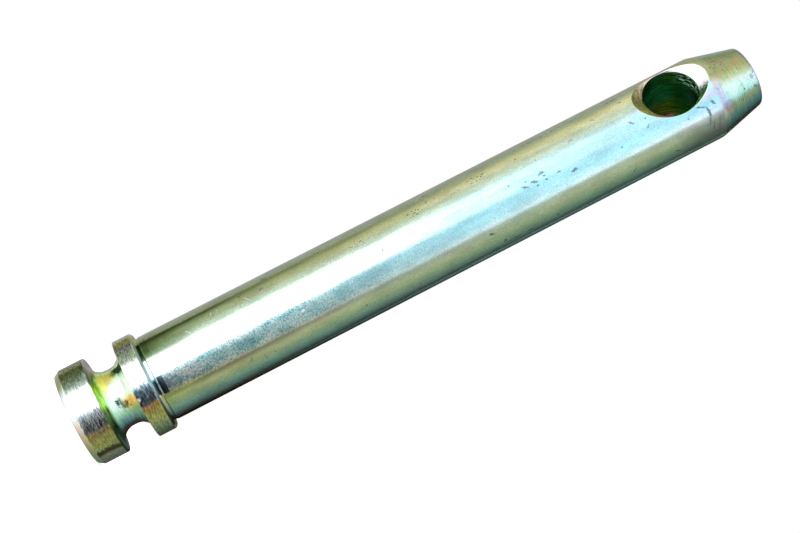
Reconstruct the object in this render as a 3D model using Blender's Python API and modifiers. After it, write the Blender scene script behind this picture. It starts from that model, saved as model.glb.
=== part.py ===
"""Top link pin: a turned, grooved and cross-drilled steel pin for a tractor's three-point linkage.

The pin stands on its head. Its axis is Z, and the origin is the middle of the head's flat end. From
the head up it has a round groove for the keeper, a collar that stops against the link's bracket, the
long plain shank, a cross hole for the linch pin and a taper that leads the pin into its holes. The
cross hole runs along Y. Its mouth on the -Y side is countersunk, and the other has its edge broken.
"""
import math

import bpy

# Driving dimensions, in metres
BAR_DIAMETER = 0.0220            # the bar that the pin is turned from, left at full size at the collar
HEAD_SKIM = 0.00015              # taken off the bar's radius to clean up the head
HEAD_LENGTH = 0.0068
HEAD_CHAMFER_LENGTH = 0.0012
HEAD_CHAMFER_DEPTH = 0.0008
NECK_DIAMETER = 0.0129
GROOVE_WIDTH = 0.0068
GROOVE_FILLET = 0.0030
COLLAR_LENGTH = 0.0043
COLLAR_CHAMFER = 0.0005
RELIEF_WIDTH = 0.0008
RELIEF_DEPTH = 0.00015
SEAT_RELIEF = 0.00006            # how far the inner half of the collar's back lies under its outer half
SHANK_DIAMETER = 0.0190
GRIP_LENGTH = 0.1247             # from the collar's shoulder to the cross hole's centre
HOLE_TO_TAPER = 0.0079           # from the cross hole's centre to the end of the plain shank
TAPER_LENGTH = 0.0106
TIP_DIAMETER = 0.0137
TIP_EDGE_RADIUS = 0.0003
BORE_DIAMETER = 0.0120
COUNTERSINK_DIAMETER = 0.0175    # across the rim, where the cone meets the crest of the shank
FAR_EDGE_BREAK = 0.0002           # how much wider than the bore the far mouth is
COUNTERSINK_ANGLE = math.radians(100)

# How far the cross hole's cutter reaches past the shank
CUTTER_REACH = 0.0020

# Facets
PIN_STEPS = 96
HOLE_STEPS = 64
FILLET_STEPS = 9
EDGE_STEPS = 3
MERGE_DISTANCE = 0.000001
SHARP_ANGLE = math.radians(20)

# Plated steel, as it looks from a step away
PLATING_COLOUR = (0.56, 0.58, 0.42, 1.0)
PLATING_ROUGHNESS = 0.28

# Places along the axis, from the head's flat end up
GROOVE_START = HEAD_LENGTH
GROOVE_END = GROOVE_START + GROOVE_WIDTH
SHOULDER = GROOVE_END + COLLAR_LENGTH
HOLE_HEIGHT = SHOULDER + GRIP_LENGTH
TAPER_START = HOLE_HEIGHT + HOLE_TO_TAPER
TIP = TAPER_START + TAPER_LENGTH


def clear_scene():
    """Removes whatever the scene holds."""
    for item in list(bpy.data.objects):
        bpy.data.objects.remove(item, do_unlink=True)


def make_collection(name):
    """Returns a new collection that is linked to the scene."""
    collection = bpy.data.collections.new(name)
    bpy.context.scene.collection.children.link(collection)
    return collection


def make_material():
    """Returns the zinc plating's material."""
    material = bpy.data.materials.new("zinc_plated_steel")
    material.use_nodes = True
    shader = material.node_tree.nodes["Principled BSDF"]
    shader.inputs["Base Color"].default_value = PLATING_COLOUR
    shader.inputs["Metallic"].default_value = 1.0
    shader.inputs["Roughness"].default_value = PLATING_ROUGHNESS
    return material


def arc(centre, radius, start, end, steps):
    """Returns points (r, z) along an arc, from the angle start to the angle end."""
    points = []
    for step in range(steps + 1):
        angle = start + (end - start) * step / steps
        points.append((centre[0] + radius * math.cos(angle), centre[1] + radius * math.sin(angle)))
    return points


def tip_profile():
    """Returns the flat tip, its rounded edge and the taper's upper end."""
    slope = math.atan2((SHANK_DIAMETER - TIP_DIAMETER) / 2, TAPER_LENGTH)
    tip_radius = TIP_DIAMETER / 2
    inset = TIP_EDGE_RADIUS * math.tan((math.pi / 2 - slope) / 2)
    centre = (tip_radius - inset, TIP - TIP_EDGE_RADIUS)
    return [(0.0, TIP)] + arc(centre, TIP_EDGE_RADIUS, math.pi / 2, slope, EDGE_STEPS)


def shank_profile():
    """Returns the plain shank and the shallow relief beside the collar."""
    shank_radius = SHANK_DIAMETER / 2
    relief_radius = shank_radius - RELIEF_DEPTH
    relief_end = SHOULDER + RELIEF_WIDTH
    return [
        (shank_radius, TAPER_START),
        (shank_radius, relief_end),
        (relief_radius, relief_end - RELIEF_DEPTH),
        (relief_radius, SHOULDER - SEAT_RELIEF),
    ]


def collar_profile():
    """Returns the collar, with its back edge chamfered and its front edge sharp.

    The inner half of its back falls away towards the relief, so that a bracket with a hole for the
    shank lies flat on the outer half alone.
    """
    collar_radius = BAR_DIAMETER / 2
    seat_edge = collar_radius - COLLAR_CHAMFER
    relief_radius = SHANK_DIAMETER / 2 - RELIEF_DEPTH
    return [
        ((relief_radius + seat_edge) / 2, SHOULDER),
        (seat_edge, SHOULDER),
        (collar_radius, SHOULDER - COLLAR_CHAMFER),
        (collar_radius, GROOVE_END),
    ]


def groove_profile():
    """Returns the round groove: straight walls that run into its floor through full fillets."""
    neck_radius = NECK_DIAMETER / 2
    depth = BAR_DIAMETER / 2 - HEAD_SKIM - neck_radius
    fillet = min(GROOVE_FILLET, GROOVE_WIDTH / 2, depth)
    centre_radius = neck_radius + fillet
    upper = (centre_radius, GROOVE_END - fillet)
    lower = (centre_radius, GROOVE_START + fillet)
    points = arc(upper, fillet, math.pi / 2, math.pi, FILLET_STEPS)
    points += arc(lower, fillet, math.pi, 1.5 * math.pi, FILLET_STEPS)
    return points


def head_profile():
    """Returns the head, chamfered at its flat end."""
    head_radius = BAR_DIAMETER / 2 - HEAD_SKIM
    return [
        (head_radius, GROOVE_START),
        (head_radius, HEAD_CHAMFER_LENGTH),
        (head_radius - HEAD_CHAMFER_DEPTH, 0.0),
        (0.0, 0.0),
    ]


def hole_profile():
    """Returns the cross hole's cutter along its own Z: a bore with a wide cone above, a small one below."""
    bore_radius = BORE_DIAMETER / 2
    spread = math.tan(COUNTERSINK_ANGLE / 2)
    crest = SHANK_DIAMETER / 2
    end = crest + CUTTER_REACH
    cone_start = crest - (COUNTERSINK_DIAMETER / 2 - bore_radius) / spread
    end_radius = COUNTERSINK_DIAMETER / 2 + CUTTER_REACH * spread
    far_start = crest - FAR_EDGE_BREAK / spread
    far_end_radius = bore_radius + FAR_EDGE_BREAK + CUTTER_REACH * spread
    return [
        (0.0, end),
        (end_radius, end),
        (bore_radius, cone_start),
        (bore_radius, -far_start),
        (far_end_radius, -end),
        (0.0, -end),
    ]


def turn(name, profile, steps, collection):
    """Returns an object whose profile, in (r, z) from top to bottom, is turned about its own Z."""
    mesh = bpy.data.meshes.new(name)
    vertices = [(radius, 0.0, height) for radius, height in profile]
    edges = [(index, index + 1) for index in range(len(profile) - 1)]
    mesh.from_pydata(vertices, edges, [])
    item = bpy.data.objects.new(name, mesh)
    collection.objects.link(item)
    screw = item.modifiers.new("turn", "SCREW")
    screw.axis = "Z"
    screw.angle = 2 * math.pi
    screw.steps = steps
    screw.render_steps = steps
    screw.use_merge_vertices = True
    screw.merge_threshold = MERGE_DISTANCE
    return item


def make_hole_cutter(collection):
    """Returns the cutter of the cross hole, laid along Y at the hole's height."""
    cutter = turn("cross_hole_cutter", hole_profile(), HOLE_STEPS, collection)
    cutter.rotation_euler = (math.pi / 2, 0.0, 0.0)
    cutter.location = (0.0, 0.0, HOLE_HEIGHT)
    cutter.hide_render = True
    cutter.display_type = "WIRE"
    return cutter


def make_link_pin(collection, cutter, material):
    """Returns the pin: one turned piece, with the cross hole cut through it."""
    profile = tip_profile() + shank_profile() + collar_profile() + groove_profile() + head_profile()
    pin = turn("link_pin", profile, PIN_STEPS, collection)
    drill = pin.modifiers.new("cross_hole", "BOOLEAN")
    drill.operation = "DIFFERENCE"
    drill.solver = "EXACT"
    drill.object = cutter
    depsgraph = bpy.context.evaluated_depsgraph_get()
    mesh = bpy.data.meshes.new_from_object(pin.evaluated_get(depsgraph))
    pin.modifiers.clear()
    pin.data = mesh
    mesh.shade_smooth()
    mesh.set_sharp_from_angle(angle=SHARP_ANGLE)
    mesh.materials.clear()
    mesh.materials.append(material)
    return pin


def main():
    clear_scene()
    parts = make_collection("top_link_pin")
    cutters = make_collection("cutters")
    cutter = make_hole_cutter(cutters)
    make_link_pin(parts, cutter, make_material())


main()
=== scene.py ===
"""Dressed top link pin: a plated steel pin in a plain white studio.

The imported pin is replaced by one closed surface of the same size, whose edges are broken as a lathe
and a countersink leave them. It is made of grids worked out with numpy: the turned body, one patch
round each mouth of the cross hole, and the hole itself. Angles round the pin are counted clockwise,
seen from above, from the side that faces the camera. Sizes and heights on the pin are in mm, and the
studio's are in metres.
"""
import math

import bmesh
import bpy
import numpy as np
from mathutils import Matrix, Vector


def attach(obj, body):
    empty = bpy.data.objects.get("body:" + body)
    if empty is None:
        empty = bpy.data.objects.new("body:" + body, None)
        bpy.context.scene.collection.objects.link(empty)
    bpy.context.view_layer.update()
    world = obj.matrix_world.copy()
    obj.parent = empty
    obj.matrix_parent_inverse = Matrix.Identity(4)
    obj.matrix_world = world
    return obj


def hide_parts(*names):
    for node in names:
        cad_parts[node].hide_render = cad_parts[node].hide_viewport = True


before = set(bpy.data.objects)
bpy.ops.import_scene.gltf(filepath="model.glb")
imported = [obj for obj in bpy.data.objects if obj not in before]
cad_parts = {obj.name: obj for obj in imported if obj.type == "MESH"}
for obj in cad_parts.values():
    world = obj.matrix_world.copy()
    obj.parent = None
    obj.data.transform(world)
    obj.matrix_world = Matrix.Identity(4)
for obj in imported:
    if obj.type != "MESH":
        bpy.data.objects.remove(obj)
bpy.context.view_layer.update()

# The pin's sizes in mm, as its source names them
HEAD_RADIUS = 10.85
HEAD_LENGTH = 6.8
HEAD_CHAMFER_LENGTH = 1.2
HEAD_CHAMFER_DEPTH = 0.8
NECK_RADIUS = 6.45
GROOVE_END = 13.6
GROOVE_FILLET = 3.0
GROOVE_MIDDLE = (HEAD_LENGTH + GROOVE_END) / 2.0
COLLAR_RADIUS = 11.0
COLLAR_CHAMFER = 0.5
SHOULDER = 17.9
SEAT_RELIEF = 0.06
SHANK_RADIUS = 9.5
RELIEF_DEPTH = 0.15
RELIEF_RADIUS = SHANK_RADIUS - RELIEF_DEPTH
RELIEF_END = 18.7
SEAT_RADIUS = (RELIEF_RADIUS + COLLAR_RADIUS - COLLAR_CHAMFER) / 2.0
HOLE_HEIGHT = 142.6
TAPER_START = 150.5
TIP_RADIUS = 6.85
TIP_HEIGHT = 161.1
TAPER_SLOPE = (SHANK_RADIUS - TIP_RADIUS) / (TIP_HEIGHT - TAPER_START)
BORE_RADIUS = 6.0
COUNTERSINK_RADIUS = 8.75
COUNTERSINK_SPREAD = math.tan(math.radians(50))
LIP_RADIUS = 5.5                 # of the bore where the drill came out, on the far side
LIP_LENGTH = 0.9

# How the surface is divided
COLUMNS = 320
WINDOW_COLUMNS = 46              # half the width of the patch round a mouth of the hole
WINDOW_LOW = 132.1
WINDOW_HIGH = 153.1
PATCH_RINGS = 12
RING_CROWDING = 1.3              # above 1 it draws the patch's rings towards the hole
RIM_STEPS = 4
CONE_RINGS = 8
BORE_RINGS = 9
RIM_BREAK = 0.12
BREAK_SHARE = 0.35               # of the cone's slant, at most, that one broken edge takes up
LEAST_SINK = 0.02                # of the cone's foot under its rim
NEAREST_RIM = 0.2                # the least share of the way to a patch's border where the rim can lie
SEARCH_STEPS = 40
TINY = 1e-12
WELD_DISTANCE = 0.000002         # in metres, as the finished points are

# Where the camera stands, and which way it is turned
CAMERA_ANGLE = math.radians(-55.94)
CAMERA_DISTANCE = 0.331449
CAMERA_HEIGHT = 0.040154
CAMERA_AIM = (0.001969, 0.001332, 0.074640)
CAMERA_ROLL = 1.096
CAMERA_LENS = 70.446
SENSOR_WIDTH = 36.0
CLIP_START = 0.01
CLIP_END = 20.0

# The studio
FLOOR_RADIUS = 0.14
FLOOR_DROP = 0.00003
FLOOR_STEPS = 96
FLOOR_GLOW = 0.3
LAMP_SIZE = 0.5
LAMP_POWER = 2.4
LAMP_PLACE = (0.05, -0.55, 0.45)
LAMP_AIM = (0.0, 0.0, 0.05)
ROOM_LIGHT = 1.4                 # that dull surfaces get from all round
LEVEL_SCALE = 4.0                # light levels are kept in ramps, which end at 1

# Scales of the grain and of the streaks: round the pin and along it
DRAWN_GRAIN = (2300.0, 3300.0)
TAPER_GRAIN = (300.0, 4200.0)
HEAD_GRAIN = (950.0, 6000.0)
GROOVE_GRAIN = (380.0, 4200.0)
CONE_GRAIN = (3000.0, 900.0)
SHANK_DRIFT = (300.0, 22.0)
SHANK_CLOUDS = (420.0, 170.0)
SHANK_HUE_DRIFT = (900.0, 60.0)
TAPER_PATCHES = (1300.0, 800.0)
HEAD_DRIFT = (220.0, 420.0)
GROOVE_WANDER = (700.0, 1100.0)
GROOVE_TEARS = (1500.0, 3200.0)

# Scales of the rings round the hole and of the painted glints on them, along X, Y and Z, and of finer
# noise
HOLE_RINGS = (300.0, 3600.0, 300.0)
HOLE_GLINT_SCALES = (620.0, 4200.0, 620.0)
CONE_MOTTLE = 1500.0
WEAR_PATCHES = 700.0
FRAY_SCALE = 2600.0

# What several finishes share
PATTERN_LOW = 0.34               # nearly all of a noise lies between these two
PATTERN_HIGH = 0.66
MARK_WIDTH_SCALE = 2.5           # of a mark's soft oval over its half width and half length
MARK_LENGTH_SCALE = 2.4
PIT_STRETCH = (1.6, 1.0, 1.0)
STRIP_START = RELIEF_END + 0.35  # of the painted dark reflection strips beside the relief, in mm
SHADED_EDGE_METAL = 0.06              # share of bare metal along the lower edge that carries painted shade

# How deep the finishes' bumps are
SHANK_BUMP = 0.000018
TURNED_BUMP = 0.000022
GROOVE_BUMP = 0.000014
CONE_BUMP = 0.000008
BORE_BUMP = 0.00003

FULL_TURN = 2.0 * math.pi
MM = 0.001


# Nodes


def add(tree, kind, inputs=None, **settings):
    """Adds a node, with its settings, and its inputs given as numbers or as sockets to link."""
    item = tree.nodes.new(kind)
    for key, value in settings.items():
        setattr(item, key, value)
    for key, value in (inputs or {}).items():
        plug(tree, item.inputs[key], value)
    return item


def plug(tree, socket, value):
    """Links a socket to another, or sets its number."""
    if isinstance(value, bpy.types.NodeSocket):
        tree.links.new(value, socket)
    else:
        socket.default_value = value


def calc(tree, operation, *values):
    """Returns the result of a Math node."""
    item = add(tree, "ShaderNodeMath", operation=operation)
    for socket, value in zip(item.inputs, values):
        plug(tree, socket, value)
    return item.outputs[0]


def vector_calc(tree, operation, *values):
    """Returns the vector that a Vector Math node makes."""
    item = add(tree, "ShaderNodeVectorMath", operation=operation)
    for socket, value in zip(item.inputs, values):
        plug(tree, socket, value)
    return item.outputs[0]


def times(tree, *masks):
    """Returns the product of some masks or numbers."""
    result = masks[0]
    for mask in masks[1:]:
        result = calc(tree, "MULTIPLY", result, mask)
    return result


def gather(tree, masks):
    """Returns the largest of some masks."""
    result = masks[0]
    for mask in masks[1:]:
        result = calc(tree, "MAXIMUM", result, mask)
    return result


def nudge(tree, value, pattern, reach):
    """Returns value + (pattern - 0.5) * reach, for a pattern that runs from 0 to 1."""
    return calc(tree, "MULTIPLY_ADD", calc(tree, "SUBTRACT", pattern, 0.5), reach, value)


def mix_value(tree, factor, first, second):
    """Returns the mix of two numbers."""
    item = add(tree, "ShaderNodeMix", data_type="FLOAT", clamp_factor=True)
    plug(tree, item.inputs[0], factor)
    plug(tree, item.inputs[2], first)
    plug(tree, item.inputs[3], second)
    return item.outputs[0]


def blend(tree, factor, first, second, mode="MIX"):
    """Returns the mix of two colours."""
    item = add(tree, "ShaderNodeMix", data_type="RGBA", blend_type=mode, clamp_factor=True)
    plug(tree, item.inputs[0], factor)
    plug(tree, item.inputs[6], rgba(first))
    plug(tree, item.inputs[7], rgba(second))
    return item.outputs[2]


def rgba(colour):
    """Gives a plain colour its fourth number, and leaves a socket as it is."""
    if isinstance(colour, bpy.types.NodeSocket):
        return colour
    if isinstance(colour, (int, float)):
        return (colour, colour, colour, 1.0)
    return (*colour, 1.0)


def tinted(tree, film, tint):
    """Returns a film's colour times a tint, which is a colour or a grey."""
    return blend(tree, 1.0, film, tint, "MULTIPLY")


def painted(tree, film, mask, share, colour):
    """Returns a film's colour with a share of another laid over it, inside a mask."""
    return blend(tree, times(tree, mask, share), film, colour)


def smooth_range(tree, value, start, end, low=0.0, high=1.0, kind="SMOOTHSTEP"):
    """Returns value carried from the range start to end to the range low to high."""
    item = add(tree, "ShaderNodeMapRange", {0: value, 1: start, 2: end, 3: low, 4: high},
               interpolation_type=kind)
    return item.outputs[0]


def span(tree, value, low_foot, low, high, high_foot):
    """Returns 1 between low and high, falling to 0 at the feet outside them."""
    return times(tree, smooth_range(tree, value, low_foot, low),
                 smooth_range(tree, value, high_foot, high))


def turn_at(degrees):
    """Returns the turn, from 0 to 1, at an angle in degrees clockwise from the camera."""
    return 0.5 + degrees / 360.0


def band_mask(tree, turn, start, end, soft):
    """Returns 1 between two angles in degrees, falling to 0 over the soft edge outside them."""
    return span(tree, turn, turn_at(start - soft), turn_at(start), turn_at(end), turn_at(end + soft))


def height_mask(tree, height, start, end, soft):
    """Returns 1 between two heights in mm, falling to 0 over the soft edge outside them."""
    return span(tree, height, start - soft, start, end, end + soft)


def shaded_lower_edge(tree, turn):
    """Returns a mask of the strip low on the side that is seen, which carries painted shade and shows
    little metal.
    """
    return band_mask(tree, turn, -89.0, -76.0, 11.0)


def ramp(tree, factor, stops):
    """Returns the colour of a ramp, from stops that are (place from 0 to 1, colour)."""
    item = add(tree, "ShaderNodeValToRGB", {0: factor})
    band = item.color_ramp
    while len(band.elements) < len(stops):
        band.elements.new(0.5)
    for element, (place, _) in zip(band.elements, stops):
        element.position = place
    for element, (_, colour) in zip(band.elements, stops):
        element.color = rgba(colour)
    return item.outputs[0]


def by_angle(tree, turn, stops):
    """Returns a ramp's colour, with stops that are (degrees clockwise from the camera, colour)."""
    return ramp(tree, turn, [(turn_at(angle), colour) for angle, colour in stops])


def round_pin(tree, turn, stops):
    """Returns a film's colour by angle, from the stops of the side that is seen and the back's own."""
    return by_angle(tree, turn, BACK_OF_PIN + stops + BACK_END)


def by_level(tree, turn, stops):
    """Returns a light level by angle, from stops that are (degrees clockwise, level)."""
    return times(tree, by_angle(tree, turn, [(angle, level / LEVEL_SCALE) for angle, level in stops]),
                 LEVEL_SCALE)


def noise(tree, vector, scale, detail=2.0, roughness=0.5):
    """Returns the value of a noise texture."""
    item = add(tree, "ShaderNodeTexNoise",
               {"Vector": vector, "Scale": scale, "Detail": detail, "Roughness": roughness})
    return item.outputs[0]


def stretched(tree, place, scales, detail=2.0, roughness=0.5):
    """Returns noise with a scale of its own along X, Y and Z."""
    return noise(tree, vector_calc(tree, "MULTIPLY", place, scales), 1.0, detail, roughness)


def streaks(tree, place, scales, detail=2.0, roughness=0.5):
    """Returns noise with one scale round the pin and another along it."""
    across, along = scales
    return stretched(tree, place, (across, across, along), detail, roughness)


def shaded(tree, pattern, low, high):
    """Returns a grey to tint a film with: low where a noise is low, and high where it is high."""
    return smooth_range(tree, pattern, PATTERN_LOW, PATTERN_HIGH, low, high, "LINEAR")


def from_camera(tree, vector):
    """Returns the angle of a vector from the camera's, round Z, its turn from 0 to 1 and its Z part.

    The angle is in radians, counted anticlockwise, and turn = 0.5 - angle / (a full turn).
    """
    turned = add(tree, "ShaderNodeVectorRotate",
                 {"Vector": vector, "Axis": (0.0, 0.0, 1.0), "Angle": -CAMERA_ANGLE},
                 rotation_type="AXIS_ANGLE")
    parts = add(tree, "ShaderNodeSeparateXYZ", {0: turned.outputs[0]})
    angle = calc(tree, "ARCTAN2", parts.outputs[1], parts.outputs[0])
    return angle, calc(tree, "MULTIPLY_ADD", angle, -1.0 / FULL_TURN, 0.5), parts.outputs[2]


# Groups that several finishes use


def new_group(name, inputs, outputs):
    """Makes a node group with named inputs and outputs, and returns its tree and its end nodes."""
    group = bpy.data.node_groups.new(name, "ShaderNodeTree")
    for title, kind, value in inputs:
        socket = group.interface.new_socket(title, in_out="INPUT", socket_type=kind)
        if value is not None:
            socket.default_value = value
    for title, kind in outputs:
        group.interface.new_socket(title, in_out="OUTPUT", socket_type=kind)
    return group, group.nodes.new("NodeGroupInput"), group.nodes.new("NodeGroupOutput")


def give(group, result, *values):
    """Links values to the outputs of a node group, in their order."""
    for socket, value in zip(result.inputs, values):
        plug(group, socket, value)
    return group


def use(tree, group, **inputs):
    """Places a node group in a tree, and returns its node."""
    item = tree.nodes.new("ShaderNodeGroup")
    item.node_tree = group
    for key, value in inputs.items():
        plug(tree, item.inputs[key.replace("_", " ")], value)
    return item


def make_unroll_group():
    """Unrolls the pin: the turn round it from 0 to 1, the height in mm, and the flat place in mm.

    The turn is half plus the clockwise angle from the camera over a full turn. The flat place is
    (shank radius times that angle, height, 0).
    """
    group, given, result = new_group(
        "unrolled_place",
        [("Vector", "NodeSocketVector", None)],
        [("Turn", "NodeSocketFloat"), ("Height", "NodeSocketFloat"), ("Flat", "NodeSocketVector")],
    )
    angle, turn, level = from_camera(group, given.outputs[0])
    height = times(group, level, 1.0 / MM)
    flat = add(group, "ShaderNodeCombineXYZ", {0: times(group, angle, -SHANK_RADIUS), 1: height})
    return give(group, result, turn, height, flat.outputs[0])


def oval(tree, offset, size, inner):
    """Returns 1 in the middle of an oval, falling to 0 at its rim.

    The reach is the length of (offset / size), which is 0.5 at the rim; the fall starts at inner.
    """
    scaled = vector_calc(tree, "DIVIDE", offset, size)
    reach = add(tree, "ShaderNodeVectorMath", {0: scaled}, operation="LENGTH")
    return smooth_range(tree, reach.outputs[1], 0.5, inner)


def make_mark_group():
    """One mark on the unrolled surface: a soft oval of a given length, width and turn."""
    group, given, result = new_group(
        "mark",
        [("Flat", "NodeSocketVector", None), ("Centre", "NodeSocketVector", None),
         ("Lean", "NodeSocketFloat", 0.0), ("Size", "NodeSocketVector", (1.0, 1.0, 1.0))],
        [("Mask", "NodeSocketFloat")],
    )
    moved = vector_calc(group, "SUBTRACT", given.outputs[0], given.outputs[1])
    turned = add(group, "ShaderNodeVectorRotate",
                 {"Vector": moved, "Axis": (0.0, 0.0, 1.0), "Angle": given.outputs[2]},
                 rotation_type="AXIS_ANGLE")
    return give(group, result, oval(group, turned.outputs[0], given.outputs[3], 0.25))


def make_pits_group():
    """A patch of pits: small dark cells kept inside a soft oval zone of the unrolled surface."""
    group, given, result = new_group(
        "pits",
        [("Flat", "NodeSocketVector", None), ("Centre", "NodeSocketVector", None),
         ("Size", "NodeSocketVector", (1.0, 1.0, 1.0)), ("Share", "NodeSocketFloat", 0.5),
         ("Cells", "NodeSocketFloat", 1.2)],
        [("Mask", "NodeSocketFloat")],
    )
    moved = vector_calc(group, "SUBTRACT", given.outputs[0], given.outputs[1])
    zone = oval(group, moved, given.outputs[2], 0.35)
    squeezed = vector_calc(group, "MULTIPLY", given.outputs[0], PIT_STRETCH)
    cells = add(group, "ShaderNodeTexVoronoi",
                {"Vector": squeezed, "Scale": given.outputs[4], "Randomness": 1.0},
                voronoi_dimensions="2D")
    dice = add(group, "ShaderNodeSeparateColor", {0: cells.outputs["Color"]})
    chosen = calc(group, "LESS_THAN", dice.outputs[0], given.outputs[3])
    pit = smooth_range(group, cells.outputs["Distance"], 0.34, 0.12)
    return give(group, result, times(group, zone, chosen, pit))


def make_grain_group():
    """Fine grain of the worked steel: noise that is stretched round the pin or along it."""
    group, given, result = new_group(
        "worked_grain",
        [("Vector", "NodeSocketVector", None), ("Across", "NodeSocketFloat", 1000.0),
         ("Along", "NodeSocketFloat", 1000.0)],
        [("Fine", "NodeSocketFloat"), ("Broad", "NodeSocketFloat")],
    )
    scale = add(group, "ShaderNodeCombineXYZ",
                {0: given.outputs[1], 1: given.outputs[1], 2: given.outputs[2]})
    place = vector_calc(group, "MULTIPLY", given.outputs[0], scale.outputs[0])
    return give(group, result, noise(group, place, 1.0, 3.0, 0.6), noise(group, place, 0.23, 2.0, 0.55))


def make_wear_group():
    """Edges rubbed bright: a thin broken line at each of the turned edges' heights."""
    group, given, result = new_group(
        "edge_wear",
        [("Height", "NodeSocketFloat", 0.0), ("Vector", "NodeSocketVector", None)],
        [("Mask", "NodeSocketFloat")],
    )
    lines = []
    for level in (HEAD_CHAMFER_LENGTH, HEAD_LENGTH, GROOVE_END, SHOULDER - COLLAR_CHAMFER):
        away = calc(group, "ABSOLUTE", calc(group, "SUBTRACT", given.outputs[0], level))
        lines.append(smooth_range(group, away, 0.22, 0.04))
    patches = noise(group, given.outputs[1], WEAR_PATCHES, 3.0, 0.6)
    broken = smooth_range(group, patches, 0.5, 0.62)
    return give(group, result, times(group, gather(group, lines), broken))


UNROLL = make_unroll_group()
MARK = make_mark_group()
PITS = make_pits_group()
GRAIN = make_grain_group()
WEAR = make_wear_group()

# Colours of the plating's film
OLIVE = (0.62, 0.83, 0.36)
DARK_OLIVE = (0.42, 0.60, 0.22)
OLIVE_YELLOW = (0.78, 0.84, 0.42)
OLIVE_GREEN = (0.56, 0.84, 0.46)
PALE_GREEN = (0.66, 0.90, 0.62)
SEA_GREEN = (0.50, 0.82, 0.50)
GREY_GREEN = (0.68, 0.82, 0.60)
WHITE = (0.97, 1.0, 1.0)
ICE = (0.88, 0.98, 1.0)
CYAN = (0.54, 0.92, 1.0)
SKY = (0.60, 0.88, 0.94)
STEEL_BLUE = (0.44, 0.62, 0.70)
TEAL = (0.46, 0.84, 0.66)
DARK_TEAL = (0.30, 0.55, 0.48)
LILAC = (0.72, 0.66, 0.86)
VIOLET = (0.60, 0.62, 0.94)
PINK = (0.92, 0.84, 0.92)
ORANGE = (0.92, 0.60, 0.22)
TAN = (0.58, 0.52, 0.28)
UMBER = (0.14, 0.11, 0.07)
# a dark brown used as painted shade low on the side that is seen
SHADED_EDGE_BROWN = (0.05, 0.03, 0.015)
PEACH = (0.96, 0.80, 0.62)
MINT = (0.66, 0.96, 0.84)
LIME = (0.42, 0.80, 0.12)
KHAKI = (0.80, 0.84, 0.24)
DULL_KHAKI = (0.63, 0.63, 0.19)
YELLOW = (0.86, 0.86, 0.44)
MOSS = (0.26, 0.36, 0.09)
DARK_MOSS = (0.10, 0.17, 0.03)
BLACK_GREEN = (0.007, 0.034, 0.013)
SMEAR_BLUE = (0.13, 0.22, 0.26)
PIT_AND_SHADE_BLACK = (0.05, 0.06, 0.04)
STRIP_REFLECTION_BLACK = (0.01, 0.012, 0.018)
WORN_WHITE = (0.92, 0.97, 0.95)

# Film on the back of the pin, and on the last of the way round to it, by degrees clockwise
BACK_OF_PIN = [(-180, ICE), (-158, CYAN), (-142, PINK), (-125, YELLOW), (-105, OLIVE_GREEN)]
BACK_END = [(114, OLIVE_YELLOW), (146, PALE_GREEN), (180, ICE)]

# Film on the side that is seen, by degrees clockwise: the shank, from the collar to the tip. These hold
# the plating's colours with painted reflection in them: a painted highlight band, white, ice or mint,
# where the soft lamp reflects, painted dark bands where the window and walls reflect, and painted shade
# low on the side that is seen
SHANK_AT_COLLAR = [
    (-78, (0.012, 0.006, 0.002)), (-68, SHADED_EDGE_BROWN), (-62, (0.23, 0.38, 0.36)),
    (-56, (0.36, 0.66, 0.58)), (-48, TEAL), (-38, OLIVE_GREEN), (-31, (0.72, 0.92, 0.32)),
    (-25, (0.46, 0.54, 0.22)), (-22.5, (0.86, 0.80, 0.28)), (-20, (1.0, 1.0, 0.70)), (-12, WHITE),
    (-3, (0.86, 1.0, 1.0)), (4, (0.77, 0.96, 0.98)), (10, WHITE), (26.5, WHITE),
    (28.5, (0.46, 0.58, 0.50)), (31, (0.28, 0.32, 0.18)), (38, (0.22, 0.42, 0.13)),
    (46, (0.32, 0.45, 0.16)), (51, (0.16, 0.27, 0.07)), (57, (0.08, 0.17, 0.03)),
    (61, (0.90, 1.0, 0.52)), (70, GREY_GREEN), (90, GREY_GREEN),
]
SHANK_NEAR_HEAD = [
    (-80, (0.02, 0.01, 0.004)), (-69, (0.08, 0.05, 0.02)), (-62, DARK_TEAL), (-55, (0.40, 0.74, 0.62)),
    (-48, TEAL), (-42, OLIVE_GREEN), (-32, OLIVE_YELLOW), (-25, (0.32, 0.36, 0.17)),
    (-22, (0.88, 0.78, 0.54)), (-19, (0.70, 0.92, 0.76)), (-6, (0.64, 1.0, 1.0)),
    (4, (0.76, 0.96, 0.98)), (10, WHITE), (28, WHITE), (32, (0.72, 0.90, 0.66)),
    (36, (0.86, 1.0, 0.78)), (42, (0.68, 1.0, 0.56)), (47, (0.84, 1.0, 0.46)), (52, (0.56, 0.76, 0.33)),
    (56, (0.09, 0.19, 0.03)), (61, (0.82, 0.96, 0.46)), (69, GREY_GREEN), (90, GREY_GREEN),
]
SHANK_HALFWAY = [
    (-75, (0.20, 0.34, 0.30)), (-66, DARK_TEAL), (-58, TEAL), (-44, OLIVE_GREEN),
    (-34, (0.74, 0.87, 0.55)), (-27, PALE_GREEN), (-23, (0.80, 0.98, 0.98)), (-16, CYAN),
    (-3, (0.44, 0.86, 1.0)), (5, (0.52, 0.87, 0.94)), (13, (0.52, 0.87, 0.94)), (20, (0.62, 0.96, 1.0)),
    (26, (0.56, 0.78, 0.80)), (31, (0.78, 0.98, 0.74)), (37, GREY_GREEN), (42, (0.88, 0.93, 0.56)),
    (50, YELLOW), (57, OLIVE_YELLOW), (63, GREY_GREEN), (90, OLIVE_YELLOW),
]
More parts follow.
